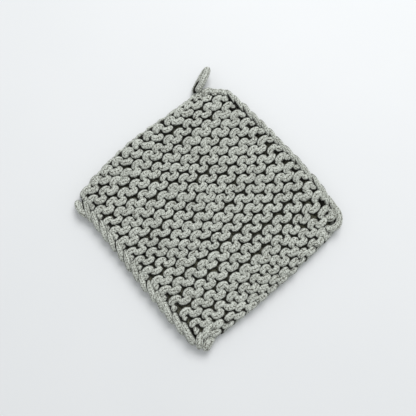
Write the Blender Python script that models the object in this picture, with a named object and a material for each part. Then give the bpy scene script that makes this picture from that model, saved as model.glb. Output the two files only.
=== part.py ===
"""A garter-stitch pot holder, knitted in one thick soft cotton cord, with a cord hanging loop at one corner.

It lies flat on its underside at z = 0, in metres, +Z up. The corner that carries the hanging loop points along +Y.
Two pieces:
    knitted_panel   one closed solid. Its upper face carries the stitches: in every ridge a row of needle loops
                    (arches) beside a row of sinker loops (cups), half a stitch apart, and a chain edge on two sides
    hanging_loop    the cord loop, one leg above the other, its two ends seated at the panel's corner

Places on the cloth are counted from its middle: stitches along a ridge, and ridges from the cast-on edge to the
bind-off edge. The four corners are called loop, left, right and foot, as they lie with the loop at the top.
"""
import math

import bmesh
import bpy
import numpy as np
from mathutils import Vector

# ---- the cord and the knitting -------------------------------------------------------------------------------
CORD = 0.0060                 # the soft cord's diameter
STITCHES = 14                 # across, the two chain edges among them
RIDGES = 15                   # garter ridges, each two rows of knitting
STITCH_PITCH = 0.0136
RIDGE_PITCH = 0.01276
THICKNESS = 0.0135            # of the cloth, over the crests of the stitches

# ---- how the hand-knitted square is out of true --------------------------------------------------------------
RIDGE_HEADING = math.radians(-139.3)   # direction of a ridge on the table
CENTRE = (0.00385, 0.00096)            # the middle stitch's place on the table
ROW_BOW = 0.0065              # both ends of the middle ridge lie this far back towards the cast-on edge
ROW_FAN = 0.0052              # and this much more at the bind-off edge, this much less at the cast-on edge
ROW_CREEP = 0.0021            # ridges open out a little towards both of those edges
END_EASE = 0.0044             # looser first and last ridges
SIDE_DRAW = 0.0043            # the cloth draws in at its cast-on and bind-off edges
SIDE_EASE = 0.0026            # looser stitches at the two chain edges
SIDE_LEAN = 0.0035            # the chain edges lean
TAPER = 0.0024                # the bind-off edge is wider than the cast-on edge
COLUMN_BOW = 0.0015           # the middle column's bow
FOOT_SWELL = 0.0100           # the bind-off bunches up towards its last corner, the foot

# ---- the outline, in stitches and ridges from the middle -----------------------------------------------------
# each edge as a cubic along itself, from -1 at its first corner to 1 at its last: constant, then rising powers
FIRST_STITCH = (-7.02, 0.21, 0.06, 0.10)     # loop corner to right corner
LAST_STITCH = (6.89, 0.33, 0.42, -0.13)      # left corner to foot corner
CAST_ON = (-7.81, -0.14, 0.33, 0.36)         # loop corner to left corner
BIND_OFF = (7.11, 0.02, 0.24, -0.18)         # right corner to foot corner
CORNER_ROUND = {"loop": 2.5, "left": 0.9, "right": 1.2, "foot": 1.2}    # corner radii, in stitches
KNOT_PLACE = (0.0020, -0.1270)             # where the knot of the cord's end stands out, near the foot corner
KNOT_RISE = 0.0050                         # by this much
KNOT_REACH = 0.0060                        # half its width
LINK_WAVE = 0.0005            # scallops of the chain links in the outline
RIM_INSET = 0.0014            # the face's outermost line lies this far inside the outline
RIM_HEIGHT = 0.0062           # where the side wall bulges most
FOOT_INSET = 0.0022           # the flat underside lies this far inside the outline

# ---- relief of the upper face, as drops from the crests ------------------------------------------------------
COLUMNS_PER_STITCH = 4
LINES_PER_RIDGE = 4           # valley, cups' crowns, seam, arches' crowns
VALLEY_DROP = 0.0046          # between two ridges
NOTCH_DROP = 0.0034           # between two loops of one ridge
SEAM_DROP = 0.0018            # between a ridge's arches and its cups
SHOULDER_DROP = 0.0006        # beside a loop's crown
LINK_DROP = 0.0036            # between two links of a chain edge
LINK_CREST_DROP = 0.0010      # on a link
TROUGH_DROP = 0.0044          # between a chain edge and the stitches beside it
RIM_DROP = 0.0036             # at the face's outermost line
CROWN_BOW = 0.085             # how far the loops' crowns bow out of their lines, in ridges

# ---- the hanging loop ----------------------------------------------------------------------------------------
LOOP_ROOT = (-0.0108, 0.1233)          # on the table, midway between its two ends
LOOP_HEADING = math.radians(63.0)      # from its root to its tip
LOOP_LENGTH = 0.0228
LOOP_TILT = math.radians(66.0)         # of the plane through both legs, from the table
LEG_SPACING = 0.0074                   # of the two legs at the root
LEG_BULGE = 0.0036                     # how far each leg bows out on its way to the tip
LOOP_HEIGHT = 0.0078                   # midway between the legs, at the root
LOOP_LIFT = 0.0024                     # and this much more at the tip
LOOP_SEGMENTS = 36

CLOTH_COLOUR = (0.32, 0.345, 0.305, 1.0)


def clear_scene():
    """Removes the objects that the script starts with."""
    for thing in list(bpy.data.objects):
        bpy.data.objects.remove(thing, do_unlink=True)


def cotton_cord(name):
    """The matt grey-green cotton of a piece."""
    material = bpy.data.materials.new(name)
    material.use_nodes = True
    shader = material.node_tree.nodes["Principled BSDF"]
    shader.inputs["Base Color"].default_value = CLOTH_COLOUR
    shader.inputs["Roughness"].default_value = 0.9
    shader.inputs["Metallic"].default_value = 0.0
    return material


def wander(edge, along):
    """Where an edge lies at a place along itself."""
    return edge[0] + along * (edge[1] + along * (edge[2] + along * edge[3]))


def fit_ends(count, low, high, half):
    """Stretches or squeezes the last whole step at both ends of a count, so that it runs from low to high."""
    inner = half - 1
    count = np.where(count > inner, inner + (count - inner) * (high - inner), count)
    return np.where(count < -inner, -inner + (count + inner) * (-low - inner), count)


def fit_edges(stitch, ridge):
    """Takes the outermost stitches and ridges to the edges, and pulls the square corners in to arcs."""
    s, r = stitch / (STITCHES / 2), ridge / (RIDGES / 2)
    first, last = wander(FIRST_STITCH, r), wander(LAST_STITCH, r)
    cast_on, bind_off = wander(CAST_ON, s), wander(BIND_OFF, s)
    stitch = fit_ends(stitch, first, last, STITCHES / 2)
    ridge = fit_ends(ridge, cast_on, bind_off, RIDGES / 2)
    for name, sx, sy in (("loop", -1, -1), ("left", 1, -1), ("right", -1, 1), ("foot", 1, 1)):
        radius = CORNER_ROUND[name]
        a = np.clip(1 + (sx * stitch - (last if sx > 0 else -first)) / radius, 0, 1)
        b = np.clip(1 + (sy * ridge - (bind_off if sy > 0 else -cast_on)) / radius, 0, 1)
        stitch = stitch - sx * radius * a * (1 - np.sqrt(1 - b * b / 2))
        ridge = ridge - sy * radius * b * (1 - np.sqrt(1 - a * a / 2))
    return stitch, ridge


def on_table(stitch, ridge):
    """The place on the table of a place on the cloth: a square grid, bowed, fanned and drawn in as knitted."""
    s = stitch / (STITCHES / 2)
    r = ridge / (RIDGES / 2)
    swell = FOOT_SWELL * np.clip(s, 0, None)**2 * np.clip(r, 0, None)**6
    along = (stitch * STITCH_PITCH + SIDE_EASE * s**3 - SIDE_DRAW * s * r**2 + TAPER * s * r
             - SIDE_LEAN * s**2 * r - COLUMN_BOW * r**2)
    across = (ridge * RIDGE_PITCH + END_EASE * r**3 + ROW_CREEP * r**2 - ROW_BOW * s**2
              - ROW_FAN * s**2 * r + swell)
    cosine, sine = math.cos(RIDGE_HEADING), math.sin(RIDGE_HEADING)
    x = CENTRE[0] + along * cosine - across * sine
    y = CENTRE[1] + along * sine + across * cosine
    return x, y


def loop_relief(stitch, kind):
    """Drop and bow of one grid line of a ridge. Arches stand at half stitches, cups at whole ones."""
    off_arch = np.abs(stitch + 0.5 - np.round(stitch + 0.5))       # 0 on an arch, 0.5 on a cup
    bow = CROWN_BOW * np.cos(2 * np.pi * off_arch)
    if kind == 0:
        return np.full_like(stitch, VALLEY_DROP), bow
    if kind == 2:
        return np.full_like(stitch, SEAM_DROP), 0.0 * bow
    off_crown = 0.5 - off_arch if kind == 1 else off_arch
    drop = np.where(off_crown > 0.4, NOTCH_DROP, np.where(off_crown > 0.2, SHOULDER_DROP, 0.0))
    return drop, 0.6 * bow


def chain_relief(column, columns, line, drop, bow):
    """Overlays the two chain edges: one long slanted link to each ridge, outside a narrow trough."""
    from_edge = np.minimum(column, columns - 1 - column)
    joint = (line + from_edge) % LINES_PER_RIDGE == 0
    drop = np.where(from_edge == 3, TROUGH_DROP, drop)
    drop = np.where(from_edge <= 2, np.where(joint, LINK_DROP, LINK_CREST_DROP), drop)
    return drop, np.where(from_edge <= 3, 0.0, bow)


def face_points():
    """Points of the upper face, on a grid of columns along the ridges and lines across them."""
    columns = STITCHES * COLUMNS_PER_STITCH + 1
    lines = RIDGES * LINES_PER_RIDGE + 1
    column = np.arange(columns)
    stitch = column / COLUMNS_PER_STITCH - STITCHES / 2
    points = np.zeros((columns, lines, 3))
    for line in range(lines):
        drop, bow = loop_relief(stitch, line % LINES_PER_RIDGE)
        drop, bow = chain_relief(column, columns, line, drop, bow)
        if line in (0, lines - 1):
            drop, bow = np.full_like(stitch, RIM_DROP), 0.0
        drop[[0, -1]] = RIM_DROP
        ridge = np.full_like(stitch, line / LINES_PER_RIDGE - RIDGES / 2) + bow
        x, y = on_table(*fit_edges(stitch, ridge))
        points[:, line] = np.stack([x, y, THICKNESS - drop], axis=-1)
    return points


def add_end_knot(points):
    """Pushes the edge near the foot corner out into the knot of the cord's end."""
    away = np.hypot(points[..., 0] - KNOT_PLACE[0], points[..., 1] - KNOT_PLACE[1])
    points[..., 1] -= KNOT_RISE * np.exp(-(away / KNOT_REACH)**2)
    return points


def outline_of(points):
    """The grid's border, counter-clockwise or not, as indices, and its outward directions on the table."""
    columns, lines = points.shape[:2]
    border = ([(c, 0) for c in range(columns - 1)] + [(columns - 1, n) for n in range(lines - 1)]
              + [(c, lines - 1) for c in range(columns - 1, 0, -1)] + [(0, n) for n in range(lines - 1, 0, -1)])
    place = np.array([points[index][:2] for index in border])
    run = np.roll(place, -1, axis=0) - np.roll(place, 1, axis=0)
    outward = np.stack([run[:, 1], -run[:, 0]], axis=-1)
    outward /= np.linalg.norm(outward, axis=1)[:, None]
    if np.sum(outward * (place - place.mean(axis=0))) < 0:
        outward = -outward
    return border, place, outward


def link_scallops(border, columns):
    """How far each border point stands out for the chain links, which lie along the first and last columns."""
    on_side = np.array([column in (0, columns - 1) for column, line in border])
    line = np.array([line for column, line in border])
    return LINK_WAVE * np.where(on_side, -np.cos(2 * np.pi * line / LINES_PER_RIDGE), 0.0)


def mesh_object(mesh, name, collection):
    """Turns a bmesh into a smooth-shaded object of its own name and material."""
    data = bpy.data.meshes.new(name)
    mesh.to_mesh(data)
    mesh.free()
    data.shade_smooth()
    data.materials.append(cotton_cord(name))
    thing = bpy.data.objects.new(name, data)
    collection.objects.link(thing)
    return thing


def extrude_ring(mesh, edges, old, new, height):
    """Extrudes the open border once, from its old places on the table to its new ones."""
    grown = bmesh.ops.extrude_edge_only(mesh, edges=edges)["geom"]
    for vertex in [item for item in grown if isinstance(item, bmesh.types.BMVert)]:
        nearest = np.argmin(np.hypot(old[:, 0] - vertex.co.x, old[:, 1] - vertex.co.y))
        vertex.co = Vector((*new[nearest], height))
    return [item for item in grown if isinstance(item, bmesh.types.BMEdge) and item.is_boundary]


def knitted_panel(collection):
    """The panel: a grid whose points are raised into stitches, a bulging side wall and a flat underside."""
    points = add_end_knot(face_points())
    columns, lines = points.shape[:2]
    border, place, outward = outline_of(points)
    rim = place + outward * link_scallops(border, columns)[:, None]
    inner = place - outward * RIM_INSET
    foot = place - outward * FOOT_INSET
    for index, spot in zip(border, inner):
        points[index][:2] = spot

    mesh = bmesh.new()
    bmesh.ops.create_grid(mesh, x_segments=columns - 1, y_segments=lines - 1, size=1.0)
    for vertex in mesh.verts:
        column = round((vertex.co.x + 1) / 2 * (columns - 1))
        line = round((vertex.co.y + 1) / 2 * (lines - 1))
        vertex.co = points[column, line]
    edges = [edge for edge in mesh.edges if edge.is_boundary]
    edges = extrude_ring(mesh, edges, inner, rim, RIM_HEIGHT)
    edges = extrude_ring(mesh, edges, rim, foot, 0.0)
    bmesh.ops.edgeloop_fill(mesh, edges=edges)
    bmesh.ops.triangulate(mesh, faces=mesh.faces[:])
    bmesh.ops.recalc_face_normals(mesh, faces=mesh.faces[:])
    return mesh_object(mesh, "knitted_panel", collection)


def loop_path():
    """Centre line of the hanging loop. It leaves its root along the heading, bulges and turns at the tip."""
    turn = np.linspace(0, 2 * np.pi, LOOP_SEGMENTS + 1)
    forth = LOOP_LENGTH * np.sin(turn / 2)
    aside = -LEG_SPACING / 2 * np.cos(turn / 2) - LEG_BULGE * np.sin(turn)
    ahead = np.array([math.cos(LOOP_HEADING), math.sin(LOOP_HEADING), 0.0])
    right = np.array([ahead[1], -ahead[0], 0.0])
    leaning = right * math.cos(LOOP_TILT) + np.array([0.0, 0.0, math.sin(LOOP_TILT)])
    height = LOOP_HEIGHT + LOOP_LIFT * np.sin(turn / 2)
    return (np.array([*LOOP_ROOT, 0.0]) + forth[:, None] * ahead + aside[:, None] * leaning
            + height[:, None] * np.array([0.0, 0.0, 1.0]))


def hanging_loop(collection):
    """The loop of the same cord, as a round tube with closed ends."""
    path = loop_path()
    curve = bpy.data.curves.new("hanging_loop", "CURVE")
    curve.dimensions = "3D"
    curve.bevel_depth = CORD / 2
    curve.bevel_resolution = 3
    curve.use_fill_caps = True
    spline = curve.splines.new("POLY")
    spline.points.add(len(path) - 1)
    for point, place in zip(spline.points, path):
        point.co = (*place, 1.0)
    spline.use_smooth = True
    curve.materials.append(cotton_cord("hanging_loop"))
    thing = bpy.data.objects.new("hanging_loop", curve)
    collection.objects.link(thing)
    return thing


def main():
    """Builds the pot holder in a collection of its own."""
    clear_scene()
    collection = bpy.data.collections.new("garter_stitch_pot_holder")
    bpy.context.scene.collection.children.link(collection)
    knitted_panel(collection)
    hanging_loop(collection)


main()
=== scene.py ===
"""Looks of the garter-stitch pot holder: every row of the soft cotton cord as it loops through the next one.

Units are metres. Places on the cloth are counted in stitches along a ridge and in ridges from the cast-on edge to
the bind-off edge, both from the middle of the cloth, and on_table() takes them to the table as its solid has them.
"""
import math

import bpy
import numpy as np
from mathutils import Matrix, Vector


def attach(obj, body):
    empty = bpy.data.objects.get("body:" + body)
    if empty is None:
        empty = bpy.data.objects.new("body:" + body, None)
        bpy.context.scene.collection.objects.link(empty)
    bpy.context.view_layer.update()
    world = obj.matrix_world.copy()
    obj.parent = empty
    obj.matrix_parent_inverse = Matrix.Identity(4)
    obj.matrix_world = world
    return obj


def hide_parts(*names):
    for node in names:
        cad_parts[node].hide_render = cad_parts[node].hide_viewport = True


# ---- the cloth, as its solid has it --------------------------------------------------------------------------
CORD = 0.0072                 # the soft cord's diameter where nothing squeezes it
STITCHES = 14
RIDGES = 15
STITCH_PITCH = 0.0136         # from one stitch to the next along a ridge
RIDGE_PITCH = 0.01276         # from one ridge to the next
THICKNESS = 0.0135
RIDGE_HEADING = math.radians(-139.3)
CENTRE = (0.00385, 0.00096)
ROW_BOW = 0.0065              # a ridge's ends lie this far back from its middle,
ROW_FAN = 0.0052              # this much further at the bind-off edge and as much less at the cast-on edge
ROW_CREEP = 0.0021            # both of those edges are shifted this far the bind-off's way
END_EASE = 0.0044             # ridges open out by this much towards both of those edges
SIDE_DRAW = 0.0043            # the chain edges are drawn in this far at both ends of their length
SIDE_EASE = 0.0026            # stitches open out by this much towards the chain edges
SIDE_LEAN = 0.0035            # both chain edges lean aside by this much along their length
TAPER = 0.0024                # each side is this much further out at the bind-off, and further in at the cast-on
COLUMN_BOW = 0.0015           # the columns of stitches bow aside by this much
FOOT_SWELL = 0.0100           # the foot corner is pulled out by this much
# the four edges, as cubics of the place along them, and the radii of the four corners
FIRST_STITCH = (-7.02, 0.21, 0.06, 0.10)
LAST_STITCH = (6.89, 0.33, 0.42, -0.13)
CAST_ON = (-7.81, -0.14, 0.33, 0.36)
BIND_OFF = (7.11, 0.02, 0.24, -0.18)
CORNER_ROUND = {"loop": 2.5, "left": 0.9, "right": 1.2, "foot": 1.2}

# ---- the hanging loop: its solid's place and size, standing a little less steeply -----------------------------
LOOP_ROOT = (-0.0108, 0.1233)
LOOP_HEADING = math.radians(63.0)
LOOP_LENGTH = 0.0228
LOOP_TILT = math.radians(57.0)
LEG_SPACING = 0.0074
LEG_BULGE = 0.0012            # each leg swings aside by this much on its way
LOOP_HEIGHT = 0.0078          # of its root over the table
LOOP_LIFT = 0.0024            # its tip is higher by this much

# ---- how the cord runs through a stitch ----------------------------------------------------------------------
MIDDLE = THICKNESS / 2
CREST = 0.00325               # a crown's centre line stands this far from the middle of the cloth
DIVE = (0.22, 0.82)           # shares of a stitch's reach between which its legs go from the middle to the face
STEADY_CLIMB = 0.15           # this share of a leg's climb is spread over the whole reach instead
REACH = 0.486                 # half the height of a stitch, in ridges
LOOP_WIDTH = 0.106            # how far the legs of a stitch swing in, in stitches
DOME = -0.12                  # a needle loop's crown is flatter than a sine
POINT = -0.07                 # a sinker loop's crown less so
SKEW = 0.06                   # a needle loop's left shoulder is higher than its right one, in ridges
PINCH = 0.30                  # the cord is drawn thinner where it passes a neighbour on its way through the cloth
PINCH_AT = (0.32, 0.34)       # in the middle of this share of the reach, and so far from it
FLATTEN = (1.09, 0.97)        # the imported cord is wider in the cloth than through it
STEPS = 24                    # points of a path in each stitch
SIDES = 14                    # points around the cord

# a crown's own unevenness: in its width (a share), its place along and across the ridge, its height (in metres),
# its cord's thickness and its skew (shares)
UNEVEN = np.array([0.13, 0.035, 0.030, 0.0004, 0.035, 0.5])

# ---- how a row ends ------------------------------------------------------------------------------------------
ROW_END = 6.5                 # a row's path runs to this stitch,
TUCK_FROM = 6.0               # and from this one on it is fitted in before the chain edge,
END_ROOM = (0.34, 0.42)       # this far in from the first and the last stitch,
END_LIMITS = (-6.68, 6.60)    # never further out than this,
END_SINK = 0.25               # and nearer to the middle of the cloth by this share
ROW_OFFSET = 0.25             # a ridge's two rows lie this far on either side of its middle, in ridges

# ---- the knitter's unevenness --------------------------------------------------------------------------------
# where stitches were pulled out of line: stitch, ridge, how far that reaches each way, and the shift in ridges
PULLED_STITCHES = [(3.4, 2.35, 1.3, 0.42, -0.16), (4.2, -2.75, 0.5, 0.30, 0.10), (4.4, -3.30, 0.5, 0.30, -0.08)]
CROWDING = 0.1                # the right corner's stitches are crowded by this share
SAG = 0.09                    # the last ridge but one sags by this much, in ridges
FIRST_RIDGE = -6.5            # the first ridge lies beyond this,
FIRST_REACH = 0.74            # reaches this far where it isn't squeezed,
FIRST_ROOM = 0.50             # keeps this much room for the cord's own thickness,
FIRST_SQUEEZE = (0.45, 1.10)  # and is squeezed or stretched to the outline within these limits;
FIRST_SKEW = 0.12             # its needle loops' shoulders differ by more,
FIRST_SHIFTS = (0.15, -0.07)  # and the lower crowns of its two rows are drawn in and out by so much


# ---- places on the cloth -------------------------------------------------------------------------------------
def share(value, start, end):
    """How far a value has come from start to end: 0 at start, 1 at end, and on in a straight line beyond."""
    return (value - start) / (end - start)


def ease(value, start, end):
    """Runs smoothly from 0 to 1 as a value goes from start to end: with f its share, 3 f squared - 2 f cubed."""
    f = np.clip(share(value, start, end), 0, 1)
    return f * f * (3 - 2 * f)


def wander(edge, along):
    """Where an edge lies at a place along itself: a cubic of that place."""
    return edge[0] + along * (edge[1] + along * (edge[2] + along * edge[3]))


def edges_at(stitch, ridge):
    """The first and last stitch at a ridge, and the cast-on and bind-off ridge at a stitch."""
    s, r = stitch / (STITCHES / 2), ridge / (RIDGES / 2)
    return wander(FIRST_STITCH, r), wander(LAST_STITCH, r), wander(CAST_ON, s), wander(BIND_OFF, s)


def round_corners(stitch, ridge):
    """Pulls the square corners in to arcs: each coordinate moves in by the arc's rise over the other one."""
    first, last, cast_on, bind_off = edges_at(stitch, ridge)
    for name, sx, sy in (("loop", -1, -1), ("left", 1, -1), ("right", -1, 1), ("foot", 1, 1)):
        radius = CORNER_ROUND[name]
        a = np.clip(1 + (sx * stitch - (last if sx > 0 else -first)) / radius, 0, 1)
        b = np.clip(1 + (sy * ridge - (bind_off if sy > 0 else -cast_on)) / radius, 0, 1)
        stitch = stitch - sx * radius * a * (1 - np.sqrt(1 - b * b / 2))
        ridge = ridge - sy * radius * b * (1 - np.sqrt(1 - a * a / 2))
    return stitch, ridge


def on_table(stitch, ridge):
    """The place on the table of a place on the cloth: a square grid, bowed, fanned and drawn in as knitted.

    With s and r the shares of the half width and half height: along the ridges the pitch times the stitch, with
    terms in s cubed, s r squared, s r, s squared r and r squared; across them the pitch times the ridge, with terms
    in r cubed, r squared, s squared, s squared r, and s squared r to the sixth at the foot; then both turned to the
    ridges' heading.
    """
    s = stitch / (STITCHES / 2)
    r = ridge / (RIDGES / 2)
    swell = FOOT_SWELL * np.clip(s, 0, None)**2 * np.clip(r, 0, None)**6
    along = (stitch * STITCH_PITCH + SIDE_EASE * s**3 - SIDE_DRAW * s * r**2 + TAPER * s * r
             - SIDE_LEAN * s**2 * r - COLUMN_BOW * r**2)
    across = (ridge * RIDGE_PITCH + END_EASE * r**3 + ROW_CREEP * r**2 - ROW_BOW * s**2
              - ROW_FAN * s**2 * r + swell)
    cosine, sine = math.cos(RIDGE_HEADING), math.sin(RIDGE_HEADING)
    x = CENTRE[0] + along * cosine - across * sine
    y = CENTRE[1] + along * sine + across * cosine
    return x, y


def place(stitch, ridge, height):
    """Points in space of places on the cloth, after the knitter's unevenness.

    The right corner's stitches are crowded together, the last ridge but one sags towards the cast-on edge, the
    pulled stitches are shifted, the first ridge is squeezed or stretched to the outline, and the corners are
    rounded.
    """
    crowd = CROWDING * ease(ridge, 4.5, 6.0) * ease(stitch, -6.9, -5.3)
    stitch = np.where(stitch < 0, stitch * (1 - crowd), stitch)
    ridge = ridge - SAG * np.exp(-((ridge - 5.9) / 0.45)**2) * ease(stitch, -5.0, -3.0)
    ridge = ridge + sum(shift * np.exp(-((stitch - s) / wide)**2 - ((ridge - r) / high)**2)
                        for s, r, wide, high, shift in PULLED_STITCHES)
    cast_on = edges_at(stitch, ridge)[2]
    squeeze = np.clip((FIRST_RIDGE - cast_on - FIRST_ROOM) / FIRST_REACH, *FIRST_SQUEEZE)
    ridge = np.where(ridge < FIRST_RIDGE, FIRST_RIDGE + (ridge - FIRST_RIDGE) * squeeze, ridge)
    stitch, ridge = round_corners(stitch, ridge)
    x, y = on_table(stitch, ridge)
    return np.stack([x, y, height], axis=-1)


def cloth_vector(along, across, up):
    """A direction given along the ridges, across them and up, as a vector in space."""
    cosine, sine = math.cos(RIDGE_HEADING), math.sin(RIDGE_HEADING)
    return np.array([along * cosine - across * sine, along * sine + across * cosine, up])


# ---- cords ---------------------------------------------------------------------------------------------------
UP = np.array([0.0, 0.0, 1.0])


def unit(vectors):
    """Vectors of length one."""
    return vectors / np.linalg.norm(vectors, axis=-1, keepdims=True)


def ripple(length, seed, reach=0.05):
    """A cord's slow changes of thickness along its length: three sines of seeded phase."""
    phase = np.random.default_rng(seed).uniform(0, 2 * np.pi, 3)
    waves = [np.sin(length * pitch + p) for pitch, p in zip((420.0, 790.0, 1510.0), phase)]
    return 1 + reach * sum(waves) / 3


def carried_circle(path, across, seed, thin=1.0):
    """One length of cord: a circle carried along a path, with rounded closed ends.

    The circle stands square to the path's tangent, turned so that it starts on the side given by tangent times
    across. Its radius is the cord's, times a slow ripple, and falls to nothing at both ends as a circle does; what
    would reach into the table is flattened on it. Returns the rings of points, the directions from the path to
    them, and the length along the path.
    """
    tangent = unit(np.gradient(path, axis=0))
    step = np.linalg.norm(np.diff(path, axis=0), axis=1)
    length = np.concatenate([[0.0], np.cumsum(step)])
    side = unit(np.cross(tangent, across))[:, None, :]
    up = np.cross(tangent[:, None, :], side)
    from_end = np.minimum(length, length[-1] - length) / (CORD / 2)
    cap = np.sqrt(np.clip(1 - np.clip(1 - from_end, 0, 1)**2, 0.01, 1))
    radius = (CORD / 2 * ripple(length, seed) * cap * thin)[:, None, None]
    angle = np.linspace(0, 2 * np.pi, SIDES, endpoint=False)[None, :, None]
    wide, high = FLATTEN
    rings = path[:, None, :] + radius * (wide * np.cos(angle) * side + high * np.sin(angle) * up)
    rings[..., 2] = np.maximum(rings[..., 2], 0.0)
    return rings, np.cos(angle) * side + np.sin(angle) * up, length


def closed_tube(length):
    """The faces of one length of cord: four-cornered faces between its rings, then one lid at each end.

    Returns the faces' corners as numbers of points, the faces' sizes, and each corner's place on the map: the turn
    around the cord and the metres along it.
    """
    rings = len(length)
    ring = np.arange(rings - 1)[:, None]
    around = np.arange(SIDES)[None, :]
    after = (around + 1) % SIDES
    quads = np.stack([ring * SIDES + around, ring * SIDES + after,
                      (ring + 1) * SIDES + after, (ring + 1) * SIDES + around], axis=-1)
    left = np.broadcast_to(around / SIDES, quads.shape[:2])
    right = left + 1 / SIDES
    low = np.broadcast_to(length[:-1, None], quads.shape[:2])
    high = np.broadcast_to(length[1:, None], quads.shape[:2])
    grid = np.stack([np.stack(corner, -1) for corner in ((left, low), (right, low), (right, high), (left, high))],
                    axis=-2)
    lids = np.concatenate([np.arange(SIDES)[::-1], (rings - 1) * SIDES + np.arange(SIDES)])
    lid_map = np.stack([lids % SIDES / SIDES, length[lids // SIDES]], axis=-1)
    corners = np.concatenate([quads.reshape(-1), lids])
    sizes = np.concatenate([np.full(quads.shape[0] * SIDES, 4), [SIDES, SIDES]])
    return corners, sizes, np.concatenate([grid.reshape(-1, 2), lid_map])


def cord_piece(name, runs, material):
    """One object of many lengths of cord, each a closed tube.

    Each run is its rings of points, its length along the path, how far inside the cloth its points lie, and how
    covered by their neighbours they are, both from 0 to 1. The last two become two attributes from which the cord's
    material paints shade into its colour: the clefts' painted shade, and the painted shade of covered places.
    """
    places, corners, sizes, turns, shadows = [], [], [], [], []
    base = 0
    for rings, length, shade_within, hidden_shade in runs:
        run_corners, run_sizes, run_turns = closed_tube(length)
        places.append(rings.reshape(-1, 3))
        corners.append(base + run_corners)
        sizes.append(run_sizes)
        turns.append(run_turns)
        everywhere = 0 * rings[..., 2]
        shadows.append(np.clip([shade_within + everywhere, hidden_shade + everywhere], 0, 1).reshape(2, -1))
        base += len(rings) * SIDES
    places, corners, sizes, turns = (np.concatenate(lists) for lists in (places, corners, sizes, turns))

    mesh = bpy.data.meshes.new(name)
    mesh.vertices.add(len(places))
    mesh.vertices.foreach_set("co", places.astype(np.float32).ravel())
    mesh.loops.add(len(corners))
    mesh.loops.foreach_set("vertex_index", corners.astype(np.int32))
    mesh.polygons.add(len(sizes))
    mesh.polygons.foreach_set("loop_start", (np.cumsum(sizes) - sizes).astype(np.int32))
    mesh.update(calc_edges=True)
    mesh.uv_layers.new(name="cord").data.foreach_set("uv", turns.astype(np.float32).ravel())
    for attribute, values in zip(("shade_within", "hidden_shade"), np.concatenate(shadows, axis=1).astype(np.float32)):
        mesh.attributes.new(attribute, "FLOAT", "POINT").data.foreach_set("value", values)
    mesh.validate()
    mesh.shade_smooth()
    mesh.materials.append(material)
    piece = bpy.data.objects.new(name, mesh)
    bpy.context.scene.collection.objects.link(piece)
    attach(piece, "root")
    return piece


# ---- the knitted rows ----------------------------------------------------------------------------------------
def row_run(sinker, head, head_in_front, seed, skew=SKEW, head_crest=1.0, start=-ROW_END):
    """A row of knitting as one length of cord, from one chain edge to the other.

    With t running through a whole turn in each stitch, from the middle of a sinker loop (0) to the middle of a
    needle loop (half a turn): along = t + width sin 2t, which swings the legs in under the crowns;
    across runs from the sinker's ridge to the head's as -cos t, with a little third harmonic that flattens or
    sharpens the crowns; height goes from one face of the cloth to the other as cos t. Each crown has a seeded
    place, height and width of its own. The clefts' painted shade may fall inside the cloth, which is all but the
    outline: the cords' outward and lowest faces along the cast-on and bind-off edges, and all of them along the
    chain edges.
    """
    rng = np.random.default_rng(seed)
    turn = np.linspace(start, ROW_END, int((ROW_END - start) * STEPS) + 1)
    t = 2 * np.pi * turn
    at_head, at_sinker = (1 - np.cos(t)) / 2, (1 + np.cos(t)) / 2
    drawn = rng.normal(0, 1, (2, 6, STITCHES + 2))
    head_index = np.clip(np.floor(turn + STITCHES // 2).astype(int), 0, STITCHES)
    sinker_index = np.round(turn + STITCHES // 2).astype(int)
    own = UNEVEN[:, None] * (drawn[0][:, head_index] * at_head**2 + drawn[1][:, sinker_index] * at_sinker**2)
    own_width, own_stitch, own_ridge, own_height, own_thickness, own_skew = own

    width = LOOP_WIDTH * (1 + own_width)
    crown = DOME * at_head + POINT * at_sinker
    swing = (np.cos(t) + crown * np.cos(3 * t)) / (1 + crown)
    stitch = turn + width * np.sin(2 * t) + own_stitch
    ridge = (sinker + head) / 2 - (head - sinker) / 2 * swing + own_ridge
    ridge = ridge + (skew if head_in_front else 0.0) * (1 + own_skew) * np.sin(t) * at_head
    face = -1 if head_in_front else 1
    rise = STEADY_CLIMB * swing + (1 - STEADY_CLIMB) * np.sign(swing) * ease(np.abs(swing), *DIVE)
    height = MIDDLE + face * CREST * rise * (1 + (head_crest - 1) * at_head)
    height = height + own_height

    first, last, cast_on, bind_off = edges_at(stitch, ridge)
    low_end = np.maximum(first + END_ROOM[0], END_LIMITS[0])
    high_end = np.minimum(last - END_ROOM[1], END_LIMITS[1])
    beyond = (np.abs(stitch) - TUCK_FROM) / (ROW_END - TUCK_FROM)
    stitch = np.where(stitch > TUCK_FROM, TUCK_FROM + beyond * (high_end - TUCK_FROM), stitch)
    stitch = np.where(stitch < -TUCK_FROM, -TUCK_FROM + beyond * (low_end + TUCK_FROM), stitch)
    height = MIDDLE + (height - MIDDLE) * (1 - END_SINK * ease(np.abs(turn), TUCK_FROM, ROW_END))
    thin = 1 - PINCH * np.exp(-((np.abs(swing) - PINCH_AT[0]) / PINCH_AT[1])**2) + own_thickness
    path = place(stitch, ridge, height)
    lean = cloth_vector(0.0, -CREST if head_in_front else CREST, REACH * RIDGE_PITCH)
    rings, aim, length = carried_circle(path, lean, seed, thin)

    from_side = np.minimum(stitch - first, last - stitch)[:, None]
    from_end = np.minimum(ridge - cast_on, bind_off - ridge)[:, None]
    outward = aim @ cloth_vector(0.0, 1.0, 0.0) * np.sign(sinker + head)
    # where the clefts' painted shade may fall: inside the cloth, not on the outline's outward and lowest faces
    shade_within = np.maximum(ease(from_end, 0.25, 0.75), ease(outward, 0.40, -0.10) * ease(aim[..., 2], -0.85, -0.45))
    return rings, length, shade_within * ease(from_side, 0.25, 0.75), 0.0


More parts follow.
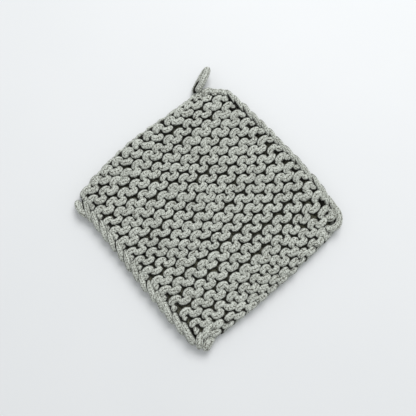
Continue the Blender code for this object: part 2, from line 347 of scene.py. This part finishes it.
def knitted_rows(material):
    """All rows: in each ridge one whose needle loops lie in front, and one whose sinker loops do.

    The last two rows are the crowns of the bind-off, which lie flatter and start a stitch further in.
    """
    runs = []
    for ridge in range(-7, 7):
        first = ridge == -7
        before, after = ridge - ROW_OFFSET, ridge + ROW_OFFSET
        in_front, behind = FIRST_SHIFTS if first else (0.0, 0.0)
        runs.append(row_run(before - REACH + in_front, before + REACH, True, 100 + ridge,
                            skew=FIRST_SKEW if first else SKEW))
        runs.append(row_run(after - REACH + behind, after + REACH, False, 200 + ridge))
    runs.append(row_run(6.25, 6.88, True, 301, head_crest=0.65, start=-5.5))
    runs.append(row_run(6.60, 6.84, False, 302, head_crest=0.8, start=-5.5))
    third = len(runs) // 3
    parts = (("knitted_rows_cast_on_third", runs[:third]), ("knitted_rows_middle_third", runs[third:2 * third]),
             ("knitted_rows_bind_off_third", runs[2 * third:]))
    return [cord_piece(name, group, material) for name, group in parts]


# ---- the edges -----------------------------------------------------------------------------------------------
def stem_phase(start, stop, phase):
    """Turns of a stem stitch from start to stop, with crowns at whole numbers plus the phase."""
    turn = np.linspace(start, stop, int((stop - start) * STEPS) + 1)
    return turn + phase, 2 * np.pi * turn


def bead_thickness(t, thick, ends):
    """A bead of an edge cord is thickest in its middle, and thinner by the share ends where it dives."""
    return thick * (1 - ends * (1 - np.cos(t)) / 2)


CHAIN_STRIDE = 0.44           # a bead runs this much of a ridge forward on top, and back beneath
CHAIN_UNEVEN = np.array([0.04, 0.15, 0.02])     # in a bead's place along, its slant (a share) and its inset
# how the beads of each chain edge lie: from and to which ridge they run, their middle's distance in from the edge
# and its wander between their two ends (in stitches), the middle's height over the cloth's and the dive between
# two beads (in metres), the cord's thickness as a share, and the share it gains towards the bind-off
CHAINS = {
    "left to foot": dict(side=1, start=-7.0, stop=6.25, inset=0.32, slant=0.20, lift=0.0004, dive=0.0028,
                         thick=0.86, gain=0.14),
    "loop to right": dict(side=-1, start=-6.9, stop=5.9, inset=0.26, slant=0.12, lift=0.0002, dive=0.0026,
                          thick=0.76, gain=0.0),
}


def chain_edge(side, start, stop, inset, slant, lift, dive, thick, gain, upper, seed):
    """One leg of the chain along an edge: long slanted beads that lie over each other like shingles.

    With t through a whole turn in each ridge: along the edge t + stride sin t, so that the cord runs well forward
    on top and a little back beneath; across slant sin t; height lift + dive cos t. Painted shade of covered places
    falls on the side towards the rows, the dives between beads, and the outer side of each bead's first half,
    which the last bead covers.
    """
    centre, t = stem_phase(start, stop, 0.20)
    drawn = np.random.default_rng(seed).normal(0, 1, (3, 20))[:, np.round(centre + 8).astype(int)]
    own_ridge, own_slant, own_inset = CHAIN_UNEVEN[:, None] * drawn * (1 + np.cos(t)) / 2
    ridge = centre + CHAIN_STRIDE * np.sin(t) + own_ridge
    first, last = edges_at(0.0 * ridge, ridge)[:2]
    edge = last if side > 0 else first
    gained = gain * ease(ridge, 1.0, 3.5)
    inset = inset + 0.36 * gained + 0.08 * ease(ridge, 4.5, 6.0)
    stitch = edge - side * inset + slant * np.sin(t) * (1 + own_slant) + own_inset
    face = 1 if upper else -1
    path = place(stitch, ridge, MIDDLE + face * (lift + dive * np.cos(t)))
    thin = bead_thickness(t, thick * (1 + gained), 0.30)
    rings, aim, length = carried_circle(path, cloth_vector(1.0, 0.0, 0.0), seed, thin)

    outward = aim @ cloth_vector(side, 0.0, 0.0)
    # painted shade: where the cord dives between beads, in the slits under the last bead, and on the side towards
    # the rows
    dives = share(np.cos(t)[:, None], 0.0, -0.7) * ease(outward, 0.45, 0.05)
    slits = share(outward, 0.25, 0.85) * ease(np.sin(t)[:, None], -0.30, -0.70) * ease(outward, 0.95, 0.70)
    inner = 0.62 - 0.24 * ease(ridge[:, None], -4.0, -5.5)
    towards_rows = share(outward, -inner, -inner - 0.6)
    return rings, length, 0.0, np.maximum(np.maximum(towards_rows, dives), 0.8 * slits)


def bind_off_edge(seed):
    """The bind-off chain on the far face: slanted overlapping beads, one to a stitch.

    With t through a whole turn in each stitch: along t + 0.4 sin t, across 0.07 sin t, and height falling with
    cos t. Painted shade of covered places falls on the tops of the cord between two beads.
    """
    centre, t = stem_phase(-6.3, 6.2, 0.5)
    stitch = centre + 0.40 * np.sin(t)
    bind_off = edges_at(stitch, 0.0 * stitch)[3]
    ridge = bind_off - 0.27 + 0.07 * np.sin(t)
    path = place(stitch, ridge, MIDDLE - 0.0012 - 0.0018 * np.cos(t))
    rings, aim, length = carried_circle(path, cloth_vector(0.0, 1.0, 0.0), seed, bead_thickness(t, 0.9, 0.2))
    # painted shade on the tops of the cord between two beads
    return rings, length, 0.0, ease(np.cos(t)[:, None], -0.1, -0.6) * share(aim[..., 2], -0.5, 0.1)


def cast_on_edge(upper, seed):
    """A cast-on cord: the upper one rises between the first row's cups, the lower one runs beneath them.

    With t through a whole turn in each stitch: across wave cos t, height rise cos t, and thickest between cups.
    Painted shade of covered places falls on the upper cord's tops beneath the cups, its side towards the rows,
    and the lower cord's top.
    """
    inset, wave, middle, rise = (0.29, 0.09, 0.0002, -0.0012) if upper else (0.64, -0.04, -0.0026, 0.0006)
    centre, t = stem_phase(-5.6, 6.2, 0.0)
    stitch = centre - 0.12 * np.sin(t)
    cast_on = edges_at(stitch, 0.0 * stitch)[2]
    path = place(stitch, cast_on + inset + wave * np.cos(t), MIDDLE + middle + rise * np.cos(t))
    rings, aim, length = carried_circle(path, cloth_vector(0.0, 1.0, 0.0), seed,
                                        bead_thickness(t + np.pi, 0.92, 0.20))
    outward = aim @ cloth_vector(0.0, -1.0, 0.0)
    # painted shade: the upper cord's tops beneath the cups and towards the rows, and all of the lower cord's top
    beneath = ease(np.cos(t)[:, None], -0.5, 0.1) if upper else 1.0
    towards_rows = ease(outward, 0.15, -0.25)
    top = ease(aim[..., 2], -0.2, 0.4) * ease(outward, 1.05, 0.65)
    return rings, length, 0.0, top * np.maximum(beneath, towards_rows)


# cords that lie across the corners: their thickness as a share, and places in stitches and ridges with heights in
# millimetres
CORNER_CORDS = {
    "right wrap": (0.86, [(-6.50, 5.35, 6.6), (-6.38, 6.05, 8.6), (-6.28, 6.68, 9.2), (-5.98, 7.05, 9.6),
                          (-5.60, 7.13, 10.2), (-5.18, 6.91, 9.4), (-4.98, 6.56, 7.0)]),
    "right curl": (0.92, [(-5.96, 6.10, 8.0), (-5.93, 6.38, 9.6), (-5.76, 6.52, 10.2), (-5.58, 6.40, 9.8),
                          (-5.54, 6.12, 8.2)]),
    "right tall bead": (1.0, [(-4.70, 6.45, 8.6), (-4.60, 6.70, 10.2), (-4.53, 6.98, 9.4), (-4.50, 7.10, 7.0)]),
    "foot first bead": (0.92, [(5.15, 6.38, 7.0), (5.42, 6.42, 9.6), (5.85, 6.52, 10.2), (6.18, 6.72, 9.2),
                               (6.34, 6.94, 6.8)]),
    "foot second bead": (0.92, [(6.24, 6.42, 6.8), (6.42, 6.56, 9.2), (6.68, 6.74, 9.8), (6.90, 6.92, 8.8),
                                (7.00, 7.08, 6.6)]),
    "foot knot": (1.02, [(5.92, 6.96, 5.6), (6.12, 7.02, 8.0), (6.42, 7.10, 8.6), (6.68, 7.16, 7.8),
                         (6.84, 7.10, 6.0)]),
    "foot under bead": (0.95, [(6.48, 5.95, 5.0), (6.58, 6.35, 3.8), (6.72, 6.75, 3.8), (6.80, 7.00, 5.2)]),
    "right under bead": (0.95, [(-6.42, 6.02, 5.2), (-6.26, 6.42, 3.8), (-6.03, 6.70, 3.8), (-5.75, 6.86, 5.0)]),
    "right inner bead": (0.95, [(-6.08, 6.00, 5.0), (-5.95, 6.30, 3.9), (-5.72, 6.56, 3.9), (-5.45, 6.66, 5.0)]),
    "left end bead": (0.80, [(6.74, -5.40, 6.5), (6.94, -5.75, 8.4), (7.00, -6.20, 8.8), (6.94, -6.62, 8.0),
                             (6.76, -6.90, 6.0)]),
    "loop corner first bead": (0.85, [(-6.82, -5.75, 5.6), (-6.76, -6.05, 8.4), (-6.60, -6.40, 8.6),
                                      (-6.42, -6.66, 6.0)]),
    "loop corner second bead": (0.90, [(-6.58, -6.38, 5.6), (-6.36, -6.62, 8.4), (-6.08, -6.90, 8.6),
                                       (-5.84, -7.06, 6.0)]),
    "loop corner third bead": (0.88, [(-6.06, -6.98, 5.6), (-5.80, -7.10, 8.2), (-5.40, -7.24, 8.4),
                                      (-5.05, -7.34, 6.0)]),
}


def smooth_path(knots, steps=10):
    """A smooth line through knots: between two of them, the cubic whose slopes are those of their neighbours."""
    knots = np.asarray(knots, float)
    padded = np.concatenate([2 * knots[:1] - knots[1:2], knots, 2 * knots[-1:] - knots[-2:-1]])
    spot = np.linspace(0, len(knots) - 1, (len(knots) - 1) * steps + 1)
    index = np.clip(spot.astype(int), 0, len(knots) - 2)
    f = (spot - index)[:, None]
    a, b, c, d = (padded[index + shift] for shift in range(4))
    return 0.5 * (2 * b + (c - a) * f + (2 * a - 5 * b + 4 * c - d) * f**2 + (3 * b - a - 3 * c + d) * f**3)


def corner_cord(thick, knots, seed):
    """A length of cord through a few places on the cloth.

    Painted shade of covered places falls on its sides, but for the one that faces away from the middle of the
    cloth, and on its top where it runs low in the cloth.
    """
    stitch, ridge, height = smooth_path(knots).T
    x, y = on_table(stitch, ridge)
    path = np.stack([x, y, height / 1000], axis=-1)
    rings, aim, length = carried_circle(path, UP, seed, thick)
    away = unit(np.concatenate([path[:, :2], 0 * path[:, 2:]], axis=1))
    outward = np.sum(aim * away[:, None, :], axis=-1)
    upward = aim[..., 2]
    # painted shade on the inward sides, and on the top where the cord runs low in the cloth
    sides = share(upward, 0.50, 0.15) * ease(outward, 0.35, -0.05) * ease(upward, -0.80, -0.40)
    low_tops = ease(path[:, 2:], MIDDLE, MIDDLE - 0.002) * ease(upward, -0.3, 0.1) * ease(outward, 0.70, 0.30)
    return rings, length, 0.0, np.maximum(sides, low_tops)


def edge_pieces(material):
    """The chain edges, the bind-off, the cast-on and the cords across the corners."""
    chains = [chain_edge(upper=upper, seed=400 + 2 * number + upper, **chain)
              for number, chain in enumerate(CHAINS.values()) for upper in (False, True)]
    corners = [corner_cord(thick, knots, 440 + number)
               for number, (thick, knots) in enumerate(CORNER_CORDS.values())]
    edges = {"chain_edges": chains, "bind_off_edge": [bind_off_edge(410)],
             "cast_on_edge": [cast_on_edge(True, 420), cast_on_edge(False, 421)], "corner_cords": corners}
    return [cord_piece(name, runs, material) for name, runs in edges.items()]


# ---- the hanging loop ----------------------------------------------------------------------------------------
def hanging_loop(material):
    """The cord loop at its corner, one cord forth and back.

    Forth as sin of half a turn, aside as its cosine with a bulge on the way, in a plane that leans up from the
    table. Painted shade falls where its second leg lies under the first one at the root.
    """
    turn = np.linspace(-0.25, 2 * np.pi + 0.25, 73)
    forth = LOOP_LENGTH * np.sin(turn / 2)
    aside = -LEG_SPACING / 2 * np.cos(turn / 2) - LEG_BULGE * np.sin(turn)
    height = LOOP_HEIGHT + LOOP_LIFT * np.sin(turn / 2)
    ahead = np.array([math.cos(LOOP_HEADING), math.sin(LOOP_HEADING), 0.0])
    right = np.array([ahead[1], -ahead[0], 0.0])
    leaning = right * math.cos(LOOP_TILT) + UP * math.sin(LOOP_TILT)
    path = np.array([*LOOP_ROOT, 0.0]) + forth[:, None] * ahead + aside[:, None] * leaning + height[:, None] * UP
    rings, aim, length = carried_circle(path, np.cross(ahead, leaning), 500, 0.92)
    # painted shade where the second leg lies under the first at the root
    under = share(aim @ leaning, 0.1, 0.7) * ease(turn[:, None], 1.4, 0.4)
    return cord_piece("hanging_cord_loop", [(rings, length, 0.0, under)], material)


# ---- materials -----------------------------------------------------------------------------------------------
WALES = 6.0                   # columns of small stitches around the cord
COURSE = 0.0024               # the length of a small stitch along it
# the thread's tones, dark to pale; both the painted shade in the pits and the random mottle pull the tone to the
# dark end
THREAD_TONES = ((0.0, (0.085, 0.08, 0.06, 1.0)), (0.70, (0.70, 0.735, 0.67, 1.0)))
# painted shade of the clefts, from none to full: white, then near black with a warm tint, and a dim olive nearest
# the middle of the cloth; multiplied into the thread's colour
CLEFT_SHADE_TONES = ((0.0, (1.0, 1.0, 1.0, 1.0)), (0.10, (0.90, 0.90, 0.90, 1.0)), (0.33, (0.025, 0.022, 0.017, 1.0)),
               (0.75, (0.03, 0.027, 0.02, 1.0)), (1.0, (0.20, 0.195, 0.145, 1.0)))
CLEFT_SHADE_REACH = (0.0055, 0.0030)                  # how far from the cloth's middle the clefts' painted shade starts and is full
HIDDEN_SHADE_SHARE = 0.45           # where on the tones of the clefts' painted shade a fully covered place lies
CORD_FINISH = {"Roughness": 0.92, "Specular IOR Level": 0.15, "Sheen Weight": 0.08, "Sheen Roughness": 0.6}
TABLE_TONES = ((0.0, (0.745, 0.76, 0.77, 1.0)), (1.0, (0.785, 0.795, 0.805, 1.0)))


def node(tree, kind, inputs=(), **settings):
    """A node of a material, with its settings and with values or links for its inputs."""
    made = tree.nodes.new(kind)
    for name, value in settings.items():
        setattr(made, name, value)
    for key, value in dict(inputs).items():
        if isinstance(value, bpy.types.NodeSocket):
            tree.links.new(value, made.inputs[key])
        else:
            made.inputs[key].default_value = value
    return made


def maths(tree, operation, a, b=0.0):
    """The result of one sum, product or other operation on two values or links."""
    return node(tree, "ShaderNodeMath", {0: a, 1: b}, operation=operation).outputs[0]


def mixed_sum(tree, a, share_of_a, b):
    """A share of one value, and the other value added to it."""
    return maths(tree, "ADD", maths(tree, "MULTIPLY", a, share_of_a), b)


def noise(tree, spots, scale, detail=2.0, roughness=0.5):
    """Cloudy noise over places in space."""
    return node(tree, "ShaderNodeTexNoise",
                {"Vector": spots, "Scale": scale, "Detail": detail, "Roughness": roughness}).outputs["Fac"]


def span(tree, value, start, end, low=0.0, high=1.0, curve="LINEAR"):
    """Goes from low to high as the value goes from start to end, and stays there beyond."""
    return node(tree, "ShaderNodeMapRange", {0: value, 1: start, 2: end, 3: low, 4: high},
                interpolation_type=curve).outputs[0]


def tones(tree, value, stops):
    """The colour that a value picks from a ramp of stops, each a place on it and a colour."""
    made = node(tree, "ShaderNodeValToRGB", {0: value})
    elements = made.color_ramp.elements
    for number, (where, colour) in ((0, stops[0]), (1, stops[-1])):
        elements[number].position = where
        elements[number].color = colour
    for where, colour in stops[1:-1]:
        elements.new(where).color = colour
    return made.outputs[0]


def new_material(name):
    """An empty material, with its node tree, its shader and the places on the object."""
    material = bpy.data.materials.new(name)
    material.use_nodes = True
    tree = material.node_tree
    return material, tree, tree.nodes["Principled BSDF"], node(tree, "ShaderNodeTexCoord").outputs["Object"]


def cotton_cord(name, pit_shade=0.80):
    """Soft tube-knit cotton cord: columns of little V stitches along it, mottled, matt and slightly downy.

    The map's turn gives a small stitch's column and the map's metres its course, both a little astray. Pits lie
    between courses and between the legs of a V; they are bumped in, and the thread's tone falls by their depth
    times the given strength, as painted shade. In the clefts between the big stitches, painted shade darkens the
    colour by depth in the cloth, or by how covered by its neighbours the place is.
    """
    material, tree, shader, spots = new_material(name)
    stray = span(tree, noise(tree, spots, 260.0), 0.3, 0.7, -0.35, 0.35)
    on_map = node(tree, "ShaderNodeSeparateXYZ", {0: node(tree, "ShaderNodeUVMap", uv_map="cord").outputs[0]})
    wales = mixed_sum(tree, on_map.outputs[0], WALES, maths(tree, "MULTIPLY", stray, 0.5))
    off_wale = maths(tree, "PINGPONG", wales, 0.5)
    courses = mixed_sum(tree, on_map.outputs[1], 1 / COURSE, stray)
    off_course = maths(tree, "PINGPONG", maths(tree, "ADD", courses, off_wale), 0.5)
    between_courses = span(tree, off_course, 0.0, 0.20, 1.0, 0.0, "SMOOTHSTEP")
    between_legs = span(tree, off_wale, 0.0, 0.16, 1.0, 0.0, "SMOOTHSTEP")
    mottle = noise(tree, spots, 900.0, roughness=0.6)
    flecks = span(tree, mottle, 0.38, 0.62)
    open_places = span(tree, mottle, 0.62, 0.38, 0.25, 1.0)
    # the pits' painted shade: their depth, unevenly open, darkens the thread's tone; the same depth is bumped in
    pit = maths(tree, "MULTIPLY",
                mixed_sum(tree, between_courses, 0.55, maths(tree, "MULTIPLY", between_legs, 0.65)), open_places)
    patches = span(tree, noise(tree, spots, 60.0), 0.0, 1.0, 0.18, 0.42)
    thread = tones(tree, mixed_sum(tree, pit, -pit_shade, mixed_sum(tree, flecks, 0.36, patches)), THREAD_TONES)

    # painted shade in the clefts: by depth towards the cloth's middle where a cord lets it in, and by how covered a
    # place is
    height = node(tree, "ShaderNodeSeparateXYZ", {0: spots}).outputs[2]
    off_middle = maths(tree, "ABSOLUTE", maths(tree, "SUBTRACT", height, MIDDLE))
    depth_shade = span(tree, off_middle, *CLEFT_SHADE_REACH)
    shade_within, hidden_shade = (node(tree, "ShaderNodeAttribute", attribute_name=attribute).outputs["Fac"]
                      for attribute in ("shade_within", "hidden_shade"))
    painted_shade = maths(tree, "MAXIMUM", maths(tree, "MULTIPLY", depth_shade, shade_within),
                   maths(tree, "MULTIPLY", hidden_shade, HIDDEN_SHADE_SHARE))
    colour = node(tree, "ShaderNodeVectorMath", {0: thread, 1: tones(tree, painted_shade, CLEFT_SHADE_TONES)},
                  operation="MULTIPLY").outputs[0]
    tree.links.new(colour, shader.inputs["Base Color"])

    relief = mixed_sum(tree, pit, -1.0, maths(tree, "MULTIPLY", noise(tree, spots, 1500.0), 0.35))
    bump = node(tree, "ShaderNodeBump", {"Height": relief, "Strength": 1.0, "Distance": 0.0006})
    tree.links.new(bump.outputs[0], shader.inputs["Normal"])
    for socket, value in CORD_FINISH.items():
        shader.inputs[socket].default_value = value
    return material


def pale_table():
    """The pale, faintly mottled table top."""
    material, tree, shader, spots = new_material("pale_table")
    tree.links.new(tones(tree, noise(tree, spots, 6.0, detail=3.0), TABLE_TONES), shader.inputs["Base Color"])
    shader.inputs["Roughness"].default_value = 0.6
    return material


# ---- the table, the light and the camera ---------------------------------------------------------------------
TABLE_HALF = 2.0              # half the table top's side
SKY_COLOUR, SKY_STRENGTH = (0.97, 0.99, 1.0, 1.0), 0.60
WINDOW_AT, WINDOW_SIZE, WINDOW_POWER = (0.40, 1.10, 1.6), 1.2, 26.5
CAMERA_AT = (0.00075, -0.12308, 0.60269)
CAMERA_LEAN = math.radians(12.0)                # away from straight down
SENSOR_WIDTH, FOCAL_LENGTH = 36.0, 54.95        # in millimetres


def table_top():
    """A large flat square that the pot holder lies on."""
    mesh = bpy.data.meshes.new("table_top")
    corners = [(TABLE_HALF * x, TABLE_HALF * y, 0) for x, y in ((-1, -1), (1, -1), (1, 1), (-1, 1))]
    mesh.from_pydata(corners, [], [(0, 1, 2, 3)])
    mesh.materials.append(pale_table())
    top = bpy.data.objects.new("table_top", mesh)
    bpy.context.scene.collection.objects.link(top)


def daylight():
    """Even light from all around, and a broad soft window above the far right corner, turned to the pot holder."""
    world = bpy.data.worlds.new("daylight")
    world.use_nodes = True
    sky = world.node_tree.nodes["Background"].inputs
    sky["Color"].default_value = SKY_COLOUR
    sky["Strength"].default_value = SKY_STRENGTH
    bpy.context.scene.world = world
    bpy.context.scene.view_settings.view_transform = "Standard"
    light = bpy.data.lights.new("window", "AREA")
    light.size = WINDOW_SIZE
    light.energy = WINDOW_POWER
    window = bpy.data.objects.new("window", light)
    window.location = WINDOW_AT
    window.rotation_euler = Vector(WINDOW_AT).to_track_quat("Z", "Y").to_euler()
    bpy.context.scene.collection.objects.link(window)


def camera():
    """Looks down at the pot holder, leaning a little away from straight down."""
    lens = bpy.data.cameras.new("camera")
    lens.sensor_width = SENSOR_WIDTH
    lens.lens = FOCAL_LENGTH
    eye = bpy.data.objects.new("camera", lens)
    eye.matrix_world = Matrix.Translation(CAMERA_AT) @ Matrix.Rotation(CAMERA_LEAN, 4, "X")
    bpy.context.scene.collection.objects.link(eye)
    bpy.context.scene.camera = eye


# ---- the scene -----------------------------------------------------------------------------------------------
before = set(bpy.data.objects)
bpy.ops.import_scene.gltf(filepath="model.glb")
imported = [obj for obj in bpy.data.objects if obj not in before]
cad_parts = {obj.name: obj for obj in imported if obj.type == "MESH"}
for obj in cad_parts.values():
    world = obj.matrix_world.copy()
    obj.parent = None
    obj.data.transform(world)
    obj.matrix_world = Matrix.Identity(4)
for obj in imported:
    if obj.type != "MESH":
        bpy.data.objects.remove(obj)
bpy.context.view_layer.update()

camera()
daylight()
table_top()

panel_cord = cotton_cord("panel_cord")
for part in knitted_rows(panel_cord) + edge_pieces(panel_cord):
    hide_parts("knitted_panel")

loop = hanging_loop(cotton_cord("loop_cord", pit_shade=0.85))
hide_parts("hanging_loop")
